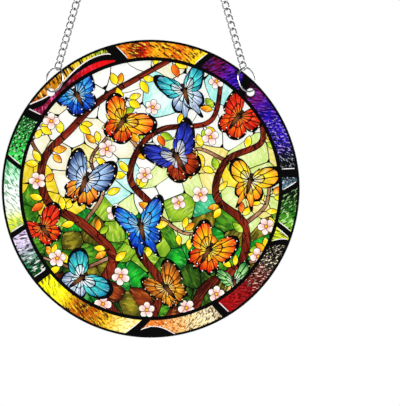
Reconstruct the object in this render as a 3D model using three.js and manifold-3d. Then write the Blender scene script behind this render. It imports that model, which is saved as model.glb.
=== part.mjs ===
// A round acrylic suncatcher, printed like leaded glass, hung from one point by a curb chain.
//
// Millimetres, +Z up. The origin is where a hook bears: the top of the opening in the chain's
// middle link. The panel hangs below it in the XZ plane, with its printed face towards -Y.
// From the middle link a run of the chain leads down each side to a jump ring, which goes
// through a hole near the panel's rim and around the rim. Everything pulls along one straight
// line from each hole, so the lean of the runs follows from the lengths below.

import * as THREE from "three";
import { mergeVertices } from "three/addons/utils/BufferGeometryUtils.js";
import Module from "manifold-3d";

const radians = THREE.MathUtils.degToRad;

// Acrylic panel
const panelDiameter = 150;
const panelThickness = 2;
const holeDiameter = 3.8;
const holeEdgeDistance = 5.2; // from the panel's rim to the middle of a hole
const holeAngle = radians(46); // from the top of the panel to a hole, about its middle

// Jump rings
const ringWire = 0.9;
const ringSlit = 0.35; // where the two ends of the wire meet
const ringPlay = 0.3; // between the panel's rim and what passes over it

// Chain
const linkLength = 5; // over the wire
const linkWidth = 3.9; // over the wire
const linkWire = 0.8;
const linkTwist = radians(90); // from one end of a link to the other
const linksPerRun = 48;
const turningLinks = 12; // at the top of a run, which turn edge on to lie side by side
const turn = radians(60); // of those links, in all

// Clearances
const gap = 0.15; // between pieces that hang in one another
const bite = 0.1; // how far the links of a run, made as one, meet into each other

// Faces
const panelSides = 120;
const holeSides = 24;
const ringSegments = 28;
const ringSides = 6;
const linkSegments = 8; // with four sides to the wire

// Worked out from the sizes above
const panelRadius = panelDiameter / 2;
const holeRadius = holeDiameter / 2;
const holeCircle = panelRadius - holeEdgeDistance;
const holeOffset = holeCircle * Math.sin(holeAngle); // from the middle line to a hole
const ringTilt = Math.PI / 2 - linkTwist / 2; // its wire crosses the first link at a right angle
const linkHalf = (linkLength - linkWire) / 2; // to the middle of the wire
const linkHalfWidth = (linkWidth - linkWire) / 2;
const linkStraight = linkHalf - linkHalfWidth; // half of a link's straight side
const barHalf = linkHalfWidth * Math.tan(Math.PI / linkSegments); // half of its end bar
const pitch = linkLength - 2 * linkWire + bite;
const runLength = 2 * linkHalf + (linksPerRun - 1) * pitch; // between its two end bars
const ringHold = (ringWire + linkWire) / 2 + gap; // from the ring's wire to the bar hung in it
const topHold = linkHalfWidth - linkWire - gap; // from a corner of the middle link to the bar in it
const middleHeight = -(linkHalfWidth - linkWire / 2); // of the middle link's centre

const acrylic = { color: 0x9fb56a, roughness: 0.12, metalness: 0 };
const plated = { color: 0xc9ccd0, roughness: 0.22, metalness: 1 };

const wasm = await Module();
wasm.setup();

function solidOf(geometry) {
  const bare = geometry.clone();
  bare.deleteAttribute("normal");
  bare.deleteAttribute("uv");
  const merged = mergeVertices(bare, 1e-4);
  return new wasm.Manifold(
    new wasm.Mesh({
      numProp: 3,
      vertProperties: merged.attributes.position.array,
      triVerts: new Uint32Array(merged.index.array),
    }),
  );
}

function geometryOf(solid) {
  const { vertProperties, triVerts } = solid.getMesh();
  const geometry = new THREE.BufferGeometry();
  geometry.setAttribute("position", new THREE.BufferAttribute(vertProperties, 3));
  geometry.setIndex(new THREE.BufferAttribute(triVerts, 1));
  geometry.computeVertexNormals();
  return geometry;
}

function piece(name, geometry, finish) {
  const mesh = new THREE.Mesh(geometry, new THREE.MeshStandardMaterial(finish));
  mesh.name = name;
  return mesh;
}

// How far above the middle of its hole a ring's wire passes, measured along the chain. The wire
// crosses the panel at a slant, so it meets the hole's wall first at the panel's faces.
function seatOf(ringRadius) {
  const depth = panelThickness / 2;
  const room = holeRadius - gap;
  const rise = (depth / Math.sin(ringTilt)) ** 2 / (2 * ringRadius);
  let seat = Infinity;
  for (let side = 0; side <= 90; side += 5) {
    const aside = (Math.sin(radians(side)) * ringWire) / 2 / Math.sin(ringTilt);
    const above = (Math.cos(radians(side)) * ringWire) / 2;
    const reach = Math.min(depth / Math.tan(ringTilt) + aside, room);
    seat = Math.min(seat, Math.sqrt(room ** 2 - reach ** 2) - above - rise);
  }
  return seat;
}

// How high above a hole something has to hang to be clear of the panel's rim by some distance,
// measured along the chain, on a line that passes the hole nearer to the panel's middle.
function clearOfRim(lean, nearer, distance) {
  const along = holeCircle * Math.cos(holeAngle + lean);
  const across = holeCircle * Math.sin(holeAngle + lean) - nearer;
  return Math.sqrt((panelRadius + distance) ** 2 - across ** 2) - along;
}

// The ring's wire has to pass over the rim, and so has the link that hangs in it. The rim's
// place along the chain depends on the lean, and the lean on the whole length with the ring in
// it, so they are settled together.
function settle() {
  const slant = panelThickness / 2 / Math.sin(ringTilt); // of the ring, to the panel's face
  let lean = 0;
  let ringRadius = holeEdgeDistance;
  let seat = 0;
  let reach = 0;
  for (let pass = 0; pass < 30; pass++) {
    seat = seatOf(ringRadius);
    const drop = ringRadius - Math.sqrt(ringRadius ** 2 - slant ** 2);
    const forRing = clearOfRim(lean, slant * Math.cos(ringTilt), ringWire / 2 + ringPlay) + drop;
    const forLink = clearOfRim(lean, barHalf * Math.sin(ringTilt), linkWire / 2 + ringPlay) + ringHold;
    ringRadius = (Math.max(forRing, forLink) - seat) / 2;
    reach = seat + 2 * ringRadius - ringHold + runLength + topHold;
    lean = Math.asin((holeOffset - linkStraight) / reach);
  }
  return { lean, ringRadius, seat, reach };
}

const { lean, ringRadius, seat, reach } = settle();
const holeHeight = middleHeight - reach * Math.cos(lean);
const panelHeight = holeHeight - holeCircle * Math.cos(holeAngle);

function circle(x, y, radius, sides) {
  const points = [];
  for (let i = 0; i < sides; i++) {
    const angle = (i / sides) * 2 * Math.PI;
    points.push(new THREE.Vector2(x + radius * Math.cos(angle), y + radius * Math.sin(angle)));
  }
  return points;
}

function panel() {
  const outline = new THREE.Shape(circle(0, 0, panelRadius, panelSides));
  for (const side of [-1, 1]) {
    const height = holeCircle * Math.cos(holeAngle);
    outline.holes.push(new THREE.Path(circle(side * holeOffset, height, holeRadius, holeSides)));
  }
  const plate = new THREE.ExtrudeGeometry(outline, { depth: panelThickness, bevelEnabled: false });
  plate.translate(0, 0, -panelThickness / 2);
  plate.rotateX(Math.PI / 2);
  const mesh = piece("acrylic_panel", plate, acrylic);
  mesh.position.z = panelHeight;
  return mesh;
}

// A ring of round wire in the XZ plane, with a slit across its outer side.
function ringGeometry() {
  const hoop = new THREE.TorusGeometry(ringRadius, ringWire / 2, ringSides, ringSegments);
  hoop.rotateX(Math.PI / 2);
  const blade = new THREE.BoxGeometry(2 * ringWire, 2 * ringWire, ringSlit);
  blade.translate(-ringRadius, 0, 0);
  return geometryOf(solidOf(hoop).subtract(solidOf(blade)));
}

// One link along Z: a round loop in the XZ plane whose two halves are drawn apart, then twisted
// about Z. Its flat ends are the bars that its neighbours hang from.
function linkGeometry(twist) {
  const corner = linkHalfWidth / Math.cos(Math.PI / linkSegments);
  const loop = new THREE.TorusGeometry(corner, linkWire / 2, 4, linkSegments);
  loop.rotateZ(Math.PI / linkSegments);
  loop.rotateX(Math.PI / 2);
  const spots = loop.attributes.position;
  const spot = new THREE.Vector3();
  const axis = new THREE.Vector3(0, 0, 1);
  for (let i = 0; i < spots.count; i++) {
    spot.fromBufferAttribute(spots, i);
    spot.z += Math.sign(spot.z) * linkStraight;
    spot.applyAxisAngle(axis, (-twist / 2) * (spot.z / linkHalf));
    spots.setXYZ(i, spot.x, spot.y, spot.z);
  }
  return loop;
}

// A straight run of links up Z from the middle of its lowest bar.
function runGeometry() {
  let run = null;
  for (let i = 0; i < linksPerRun; i++) {
    const turned = Math.max(0, i + 1 - (linksPerRun - turningLinks)) / turningLinks;
    const link = linkGeometry(linkTwist);
    link.rotateZ(-turn * turned);
    link.translate(0, 0, linkHalf + i * pitch);
    run = run ? run.add(solidOf(link)) : solidOf(link);
  }
  return geometryOf(run);
}

// What hangs between one hole and the middle link, as it is on the left. The group's own Z runs
// up the chain from the middle of the hole.
function strand(side) {
  const ring = piece(`${side}_jump_ring`, ringGeometry(), plated);
  ring.rotation.z = -ringTilt;
  ring.position.z = seat + ringRadius;
  const run = piece(`${side}_chain_run`, runGeometry(), plated);
  run.position.z = seat + 2 * ringRadius - ringHold;
  const group = new THREE.Group();
  group.add(ring, run);
  group.position.set(-holeOffset, 0, holeHeight);
  group.rotation.y = lean;
  return group;
}

function middleLink() {
  const link = piece("middle_link", linkGeometry(0), plated);
  link.rotation.y = Math.PI / 2;
  link.position.z = middleHeight;
  return link;
}

const suncatcher = new THREE.Group();
const mirrored = new THREE.Group();
mirrored.scale.x = -1;
mirrored.add(strand("right"));
suncatcher.add(panel(), strand("left"), mirrored, middleLink());

export default suncatcher;
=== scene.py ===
"""Looks of a round acrylic suncatcher that hangs from one point by a curb chain.

The panel is clear acrylic with a see-through print in the manner of leaded glass. The print is one
flat mesh: every pane, leaf, petal, wing cell and lead line is an outline in millimetres, laid in
painter's order and cut into triangles together, and each triangle carries the tints of the
topmost outline. Sizes of the pieces are millimetres, as on a maker's drawing. They become metres
when a mesh is made. The studio and the finishes are in metres. In the print, bearings are degrees
clockwise from the top of the panel, and other angles are degrees anticlockwise from +X.
"""

from __future__ import annotations

import logging
import math
from collections.abc import Mapping, Sequence
from dataclasses import dataclass, field
from enum import Enum

import bpy
import numpy as np
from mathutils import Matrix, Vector
from mathutils.geometry import delaunay_2d_cdt


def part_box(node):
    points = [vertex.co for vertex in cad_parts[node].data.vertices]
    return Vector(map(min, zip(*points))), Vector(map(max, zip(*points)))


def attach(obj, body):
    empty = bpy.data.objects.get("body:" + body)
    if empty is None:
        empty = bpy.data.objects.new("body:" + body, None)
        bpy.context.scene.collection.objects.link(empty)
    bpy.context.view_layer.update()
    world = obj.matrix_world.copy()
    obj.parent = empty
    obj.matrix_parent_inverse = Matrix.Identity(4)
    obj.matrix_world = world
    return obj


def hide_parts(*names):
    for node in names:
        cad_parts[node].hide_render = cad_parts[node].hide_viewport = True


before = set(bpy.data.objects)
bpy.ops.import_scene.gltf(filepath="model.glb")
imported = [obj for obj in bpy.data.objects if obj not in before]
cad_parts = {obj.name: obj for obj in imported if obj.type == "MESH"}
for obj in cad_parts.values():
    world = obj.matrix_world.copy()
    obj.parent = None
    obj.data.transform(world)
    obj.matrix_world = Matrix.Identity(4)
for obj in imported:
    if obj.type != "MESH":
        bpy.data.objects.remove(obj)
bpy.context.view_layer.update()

log = logging.getLogger("suncatcher")

MM = 0.001  # metres in a millimetre
TINY = 1e-9  # the least length that a direction is divided by
INK_DENSITY = 1.22  # the power that each tint of ink is raised to
ACRYLIC_INDEX = 1.49
FIRST_BAR = -14.1  # the bearing where the border's lengths start
WHITE = "ffffff"
LEAD_BLACK = "070606"

Tint = tuple[float, float, float]
Spot = tuple[float, float]
Reach = tuple[Spot, ...]


class Side(Enum):
    """The two sides that the panel hangs by, with the sign of X there."""

    LEFT = -1
    RIGHT = 1

    @property
    def word(self) -> str:
        """The side's name as the nodes spell it."""
        return self.name.lower()


class Shading(Enum):
    """How a pane goes from its first tint to its second."""

    ROUND = "from the middle outwards"
    ALONG = "from one end to the other"


def tint(code: str) -> Tint:
    """Turn a web colour into linear light, a little denser, as a thick layer of ink is.

    The web's curve is undone: a part is divided by 12.92 up to 0.04045, and above it 0.055 is
    added, the sum divided by 1.055 and raised to the power of 2.4.

    Args:
        code: six hexadecimal digits.

    Returns:
        Red, green and blue from 0 to 1.
    """
    parts = np.array([int(code[i : i + 2], 16) for i in (0, 2, 4)]) / 255
    linear = np.where(parts <= 0.04045, parts / 12.92, ((parts + 0.055) / 1.055) ** 2.4)
    return tuple(float(v) for v in linear**INK_DENSITY)


# Outlines: each is an (n, 2) array of points in millimetres.


def turned(points: np.ndarray, angle: float, at: Spot = (0.0, 0.0)) -> np.ndarray:
    """Turn points about the origin by an angle, then move them.

    Args:
        points: (n, 2) array.
        angle: degrees, anticlockwise.
        at: where the origin goes.

    Returns:
        The new (n, 2) array.
    """
    c, s = math.cos(math.radians(angle)), math.sin(math.radians(angle))
    return points @ np.array([[c, s], [-s, c]]) + np.asarray(at)


def oval(length: float, width: float, sides: int = 16) -> np.ndarray:
    """An ellipse about the origin: x is half the length times cos t, y half the width times sin t.

    Args:
        length: its size along X.
        width: its size along Y.
        sides: how many points it has.

    Returns:
        The outline.
    """
    t = np.arange(sides) * 2 * np.pi / sides
    return np.column_stack([length / 2 * np.cos(t), width / 2 * np.sin(t)])


def leaf(
    length: float, width: float, belly: float = 0.45, fullness: float = 0.85, sides: int = 9
) -> np.ndarray:
    """A leaf from its stalk at the origin to its tip on +X.

    Its half-width is width/2 times sin(pi s) to the power of the fullness, where s runs 0 to 1
    along the leaf, bent by a power so that the widest place comes at the belly.

    Args:
        length: stalk to tip.
        width: at the widest place.
        belly: the widest place, as a share of the length.
        fullness: below 1 for a leaf with fuller ends.
        sides: points along each edge.

    Returns:
        The outline.
    """
    s = np.linspace(0, 1, sides)
    bend = math.log(0.5) / math.log(belly)
    half = width / 2 * np.sin(np.pi * s**bend) ** fullness
    lower = np.column_stack([length * s, -half])
    upper = np.column_stack([length * s, half])[::-1]
    return np.vstack([lower, upper[1:-1]])


def petal(
    length: float, width: float, root: float = 0.55, gain: float = 0.45, sides: int = 14
) -> np.ndarray:
    """A rounded petal on +X: an oval whose y is multiplied by root + gain times x/length.

    Args:
        length: root to tip.
        width: near the tip.
        root: the share of the width that is left at the root.
        gain: the share that comes back by the tip.
        sides: how many points it has.

    Returns:
        The outline.
    """
    t = np.arange(sides) * 2 * np.pi / sides
    x = length / 2 * (1 + np.cos(t))
    y = width / 2 * np.sin(t) * (root + gain * x / length)
    return np.column_stack([x, y])


def spline(knots: Sequence[Spot], per_span: int = 8) -> np.ndarray:
    """A Catmull-Rom curve through the knots.

    Between knots p1 and p2, with p0 and p3 beyond them, the point at u is
    (2 p1 + (p2 - p0) u + (2 p0 - 5 p1 + 4 p2 - p3) u^2 + (3 p1 - p0 - 3 p2 + p3) u^3) / 2.

    Args:
        knots: the points that the curve passes through.
        per_span: steps between two knots.

    Returns:
        Points on the curve.
    """
    k = np.asarray(knots, float)
    k = np.vstack([2 * k[0] - k[1], k, 2 * k[-1] - k[-2]])
    p0, p1, p2, p3 = (p[:, None, :] for p in (k[:-3], k[1:-2], k[2:-1], k[3:]))
    u = (np.arange(per_span) / per_span)[None, :, None]
    curve = (2 * p1 + (p2 - p0) * u + (2 * p0 - 5 * p1 + 4 * p2 - p3) * u**2) / 2
    curve = (curve + (3 * p1 - p0 - 3 * p2 + p3) * u**3 / 2).reshape(-1, 2)
    return np.vstack([curve, k[-2]])


def ribbon(path: np.ndarray, widths: np.ndarray | float) -> np.ndarray:
    """A band along a path: the path moved half its width to each side, joined into one outline.

    Args:
        path: (n, 2) points.
        widths: the band's width at each point, or one width.

    Returns:
        The outline.
    """
    along = np.gradient(path, axis=0)
    along /= np.maximum(np.linalg.norm(along, axis=1, keepdims=True), TINY)
    half = (np.broadcast_to(widths, len(path)) / 2)[:, None]
    out = np.column_stack([along[:, 1], -along[:, 0]]) * half
    return np.vstack([path + out, (path - out)[::-1]])


def area(outline: np.ndarray) -> float:
    """The shoelace sum: half of x1 y2 - x2 y1 round the outline, above zero if anticlockwise."""
    x, y = outline.T
    return float(np.sum(x * np.roll(y, -1) - np.roll(x, -1) * y) / 2)


def swell(outline: np.ndarray, by: float) -> np.ndarray:
    """Move each point of an outline out along its normal.

    Args:
        outline: the outline.
        by: how far, below zero to move it in.

    Returns:
        The new outline.
    """
    along = np.roll(outline, -1, 0) - np.roll(outline, 1, 0)
    along /= np.maximum(np.linalg.norm(along, axis=1, keepdims=True), TINY)
    turn = np.sign(area(outline)) or 1.0
    return outline + by * turn * np.column_stack([along[:, 1], -along[:, 0]])


def corner_cut(outline: np.ndarray, cut: float = 0.25) -> np.ndarray:
    """Round an outline by cutting each corner.

    Args:
        outline: the outline.
        cut: how far along both its edges a corner is cut, as a share of the edge.

    Returns:
        An outline of twice as many points.
    """
    after = np.roll(outline, -1, 0)
    pair = [(1 - cut) * outline + cut * after, cut * outline + (1 - cut) * after]
    return np.stack(pair, 1).reshape(-1, 2)


def polar(bearing: np.ndarray, radius: np.ndarray | float) -> np.ndarray:
    """Points at bearings and distances from the origin: x = r sin b, y = r cos b."""
    a = np.radians(bearing)
    return np.column_stack([radius * np.sin(a), radius * np.cos(a)])


def arc(radius: float, start: float, end: float, steps: int) -> np.ndarray:
    """So many points on a circle about the origin, from one bearing to another."""
    return polar(np.linspace(start, end, steps), radius)


def clipped(outline: np.ndarray, normal: np.ndarray, limit: float) -> np.ndarray:
    """Cut a convex outline along a straight line.

    Args:
        outline: the outline.
        normal: a direction square to the line.
        limit: how far the line is from the origin along the normal.

    Returns:
        The part on the side that the normal points away from.
    """
    depth = outline @ normal - limit
    kept = []
    for i in range(len(outline)):
        j = (i + 1) % len(outline)
        if depth[i] <= 0:
            kept.append(outline[i])
        if (depth[i] <= 0) != (depth[j] <= 0):
            share = depth[i] / (depth[i] - depth[j])
            kept.append(outline[i] + share * (outline[j] - outline[i]))
    return np.array(kept).reshape(-1, 2)


def topmost(spots: np.ndarray, outlines: Sequence[np.ndarray]) -> np.ndarray:
    """Find the last outline that each spot lies in.

    A spot is inside where a line from it towards +X crosses the outline an odd number of times.

    Args:
        spots: (n, 2) array.
        outlines: the outlines in painter's order.

    Returns:
        The number of the outline for each spot, or -1.
    """
    top = np.full(len(spots), -1)
    order = np.argsort(spots[:, 0])
    sorted_x = spots[order, 0]
    for number, outline in enumerate(outlines):
        low, high = outline.min(0), outline.max(0)
        near = order[slice(*np.searchsorted(sorted_x, (low[0], high[0])))]
        near = near[(spots[near, 1] >= low[1]) & (spots[near, 1] <= high[1])]
        x, y = spots[near, :1], spots[near, 1:]
        (x1, y1), (x2, y2) = outline.T, np.roll(outline, -1, 0).T
        spans = (y1 > y) != (y2 > y)
        at = x1 + (y - y1) * (x2 - x1) / np.where(y1 == y2, 1.0, y2 - y1)
        top[near[np.sum(spans & (at > x), 1) % 2 == 1]] = number
    return top


@dataclass(frozen=True)
class Glass:
    """One kind of printed glass.

    The tint goes from `first` to `second` over a pane, with streaks of `fleck` and `shade` in it,
    each as strong as its amount. `clear` is the share of light that goes straight through, and
    `streak` the length and breadth of the streaks.
    """

    first: Tint
    second: Tint
    fleck: Tint
    fleck_amount: float
    shade: Tint
    shade_amount: float
    clear: float
    streak: Spot


def ink(
    first: str,
    second: str,
    fleck: str = WHITE,
    flecks: float = 0.0,
    shade: str = LEAD_BLACK,
    shades: float = 0.0,
    clear: float = 0.06,
    streak: Spot = (4.0, 1.2),
) -> Glass:
    """Make glass from web colours.

    Args:
        first: the first tint.
        second: the second tint.
        fleck: the light streaks.
        flecks: how strong they are.
        shade: the dark streaks.
        shades: how strong they are.
        clear: the share of light that goes straight through.
        streak: the length and breadth of the streaks.

    Returns:
        The glass.
    """
    return Glass(tint(first), tint(second), tint(fleck), flecks, tint(shade), shades, clear, streak)


LEAD = ink(LEAD_BLACK, LEAD_BLACK, clear=0.0)
HIGHLIGHT = ink(WHITE, "f4ecea", clear=0.1)


@dataclass(frozen=True)
class Pane:
    """An outline, the glass in it, where its shading starts and turns, and which way it streaks.

    Panes of one patch share their streaks, which then follow the border. A patch of -1 stands alone.
    """

    outline: np.ndarray
    glass: Glass
    origin: np.ndarray
    across: np.ndarray
    streak_angle: float
    patch: int


@dataclass
class Picture:
    """Panes in painter's order: a later one covers an earlier one.

    `smallest` is the area in square millimetres below which a pane isn't laid.
    """

    panes: list[Pane] = field(default_factory=list)
    smallest: float = 0.02

    def lay(
        self,
        outline: np.ndarray,
        glass: Glass,
        shading: Shading = Shading.ROUND,
        angle: float = 0.0,
        streak_angle: float | None = None,
        patch: int = -1,
    ) -> None:
        """Lay one pane.

        The pane's shading place is an affine map of its points: its length is 0 where the first
        tint is full and 1 where the second is.

        Args:
            outline: the pane's outline.
            glass: what fills it.
            shading: round about the middle, or along a direction.
            angle: the direction of the shading.
            streak_angle: the direction of the streaks, or None for the shading's. In a patch, it is
                counted from the border's own direction.
            patch: which length of the border the pane is part of, or -1.
        """
        if len(outline) < 3 or abs(area(outline)) < self.smallest:
            return
        d = np.array([math.cos(math.radians(angle)), math.sin(math.radians(angle))])
        n = np.array([-d[1], d[0]])
        along, beside = outline @ d, outline @ n
        if shading is Shading.ALONG:
            origin = d * along.min()
            across = np.array([d / np.ptp(along), [0.0, 0.0]])
        else:
            origin = d * (along.max() + along.min()) / 2 + n * (beside.max() + beside.min()) / 2
            across = np.array([2 * d / np.ptp(along), 2 * n / np.ptp(beside)])
        streaks = angle if streak_angle is None else streak_angle
        self.panes.append(Pane(outline, glass, origin, across, streaks, patch))

    def lead(self, outline: np.ndarray) -> None:
        """Lay plain black."""
        self.lay(outline, LEAD)

    def leaded(
        self,
        outline: np.ndarray,
        glass: Glass,
        shading: Shading = Shading.ROUND,
        angle: float = 0.0,
        came: float = 0.36,
    ) -> None:
        """Lay a pane with a black line around it.

        Args:
            outline: the pane's outline.
            glass: what fills it.
            shading: round about the middle, or along a direction.
            angle: the direction of the shading.
            came: the width of the line.
        """
        self.lead(swell(outline, came))
        self.lay(outline, glass, shading, angle)


# The kinds of glass in the picture.

SNOW = ink(WHITE, "fdfff8", WHITE, 0.3, "f0f4e4", 0.3, 0.45)
CREAM = ink(WHITE, "f6f2d2", WHITE, 0.4, "eee8c0", 0.35, 0.3)
PALE_AQUA = ink("f4fffc", "b4f2ea", WHITE, 0.6, "8ce8e0", 0.4, 0.25)
TURQUOISE = ink("e0fbf6", "2cc4ae", WHITE, 0.3, "10a892", 0.3, 0.15)
PALE_LIME = ink("f2f8c4", "dcee98", "fbffe0", 0.5, "c0dc60", 0.4, 0.2)
STRAW = ink("fcf6bc", "f2e684", "fffce4", 0.5, "e0d058", 0.4, 0.2)
YELLOW = ink("fff250", "ecd41c", "fffac0", 0.4, "ccac0c", 0.3, 0.12)
MINT = ink("dcf8d4", "a0e4b0", "f0fff0", 0.5, "6cd094", 0.5, 0.18)
JADE = ink("60d8a4", "28a470", "b9f7dc", 0.4, "0c7a4c", 0.4, 0.1)
LIME = ink("c4e048", "8cb824", "eaf890", 0.5, "5c8c14", 0.5, 0.1)
MEADOW = ink("6cb430", "347c18", "a8d050", 0.4, "18500c", 0.7)
MOSS = ink("4c7c1c", "24500e", "84a838", 0.35, "143008", 0.7)
OLIVE = ink("a89c28", "605c14", "d4c450", 0.45, "38340a", 0.6)
RUST = ink("b8561c", "5c1c08", "e89a4c", 0.4, "2c0c04", 0.5)
EMERALD = ink("28cc38", "10862c", "8cf08c", 0.4, "064a1a", 0.5)

LEAF_YELLOW = ink("fff22c", "f0cc10", "fffcb8", 0.5, clear=0.05)
LEAF_GOLD = ink("ffc928", "dd7f0a", "ffee9a", 0.5, clear=0.05)
LEAF_ORANGE = ink("ff9326", "d4500c", "ffcf7a", 0.4, clear=0.05)
LEAF_LIME = ink("c6e23c", "7ba81c", "eefaa0", 0.4, clear=0.05)
LEAF_KINDS = (*[LEAF_YELLOW] * 4, LEAF_GOLD, LEAF_ORANGE, LEAF_LIME)
BARK = ink("9c3820", "4c1009", "c06a44", 0.35, "200603", 0.75, 0.03, (7.0, 0.7))
TWIG = ink("c99b78", "7c4a30", "efd3b4", 0.5, "4a2415", 0.4, 0.03, (4.0, 0.5))
BLOSSOM = ink("fffaf6", "f4b4a4", WHITE, 0.3, "e09080", 0.25)
HEART = ink("ffe23a", "e08a10")
BODY = ink("8a5a34", "1c0c08")
HEAD = ink("5a3a28", "120806")


@dataclass(frozen=True)
class Palette:
    """The glass of one butterfly: both pairs of wings, the cells near the body and the spots."""

    fore: Glass
    hind: Glass
    root: Glass
    spots: Glass


def wing_glass(near: str, far: str, fleck: str, shade: str = "0a0a18") -> Glass:
    """Wing glass from four web colours: near the body, at the margin, and the streaks."""
    return ink(near, far, fleck, 0.3, shade, 0.5, clear=0.04, streak=(5.0, 0.7))


def palette(fore: str, hind: str, root: str, spots: str) -> Palette:
    """Gather a butterfly's glass.

    Args:
        fore: the fore wings' web colours, parted by spaces, as wing_glass takes them.
        hind: the hind wings'.
        root: those of the cells near the body.
        spots: the web colour of the spots.

    Returns:
        The palette.
    """
    return Palette(*(wing_glass(*codes.split()) for codes in (fore, hind, root)), ink(spots, spots))


AZURE = palette(
    "49c3ff 0b49c8 c9f3ff 061a78", "1c7df0 0a1e9c 8fd8ff 050c58", "bfeeff 37a6f2 ffffff", WHITE
)
NAVY = palette(
    "4353d8 141a78 8fa2ff 070834", "d8521c 7c1a0c ff9a52 2c0806", "f4efe6 a9b4d6 ffffff", "ffd9b0"
)
FLAME = palette(
    "ffd21f f2510e fff08a b3200a", "ff8a12 d8200c ffd257 8a0f08", "ffef52 ffae1c ffffc8", WHITE
)
SCARLET = palette(
    "ff4a22 c00f10 ff9a5c 6a0608", "ff7a1c e0230f ffc04a 8a0f08", "ff9c3a ee3a18 ffe08a", "fff0d0"
)
LEMON = palette(
    "fff23a f5b014 ffffc0 c47a08", "ffd426 ef8210 fff29a a84c08", "fffbd0 ffe850 ffffff", "3a1c08"
)
LAGOON = palette(
    "5fe6e2 0b93b0 d8ffff 065468", "e8f4ff 8fa9cc ffffff 3c4d78", "ffffff c6ecf4 ffffff", "0a2a60"
)
FERN = palette(
    "b8f0a0 1c8a3c e8ffd8 07401c", "ffe89a eda01c fff8d8 a85c0a", "f4ffe0 8fdc8c ffffff", "fff8c0"
)
SLATE = palette(
    "b4d4f8 3c5894 eef6ff 1c2448", "ffc040 d8601c fff09a 7c2c0c", "ffffff a8c8f0 ffffff", "fff4d8"
)
RUSSET = palette(
    "f09a2a 9c4a0c ffd98a 4a1c06", "ffc22c b8640c fff09a 5c2806", "ffe08a e89a24 fff8c8", "fff2c8"
)


# Wing shapes: the reach at each angle from straight out, as a share of the wing length.

ROUND_FORE: Reach = (
    (-22, 0.40), (-8, 0.66), (10, 0.76), (28, 0.90), (44, 1.02), (58, 0.98), (70, 0.62), (80, 0.25),
)
POINTED_FORE: Reach = (
    (-22, 0.34), (-8, 0.56), (10, 0.70), (26, 0.94), (38, 1.12), (48, 1.10), (62, 0.62), (78, 0.22),
)
LONG_FORE: Reach = (
    (-24, 0.36), (-10, 0.66), (4, 0.92), (18, 1.10), (32, 1.12), (46, 0.94), (62, 0.56), (78, 0.22),
)
ROUND_HIND: Reach = (
    (-118, 0.22), (-100, 0.55), (-80, 0.72), (-60, 0.76), (-42, 0.70), (-24, 0.58), (-10, 0.34),
)
TAILED_HIND: Reach = (
    (-118, 0.20), (-104, 0.50), (-92, 0.62), (-82, 0.72), (-76, 1.04), (-71, 1.06), (-66, 0.76),
    (-50, 0.78), (-34, 0.68), (-20, 0.54), (-10, 0.32),
)
WAVED_HIND: Reach = (
    (-118, 0.22), (-104, 0.60), (-94, 0.56), (-82, 0.76), (-70, 0.68), (-58, 0.80), (-46, 0.68),
    (-34, 0.70), (-22, 0.54), (-10, 0.34),
)


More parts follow.
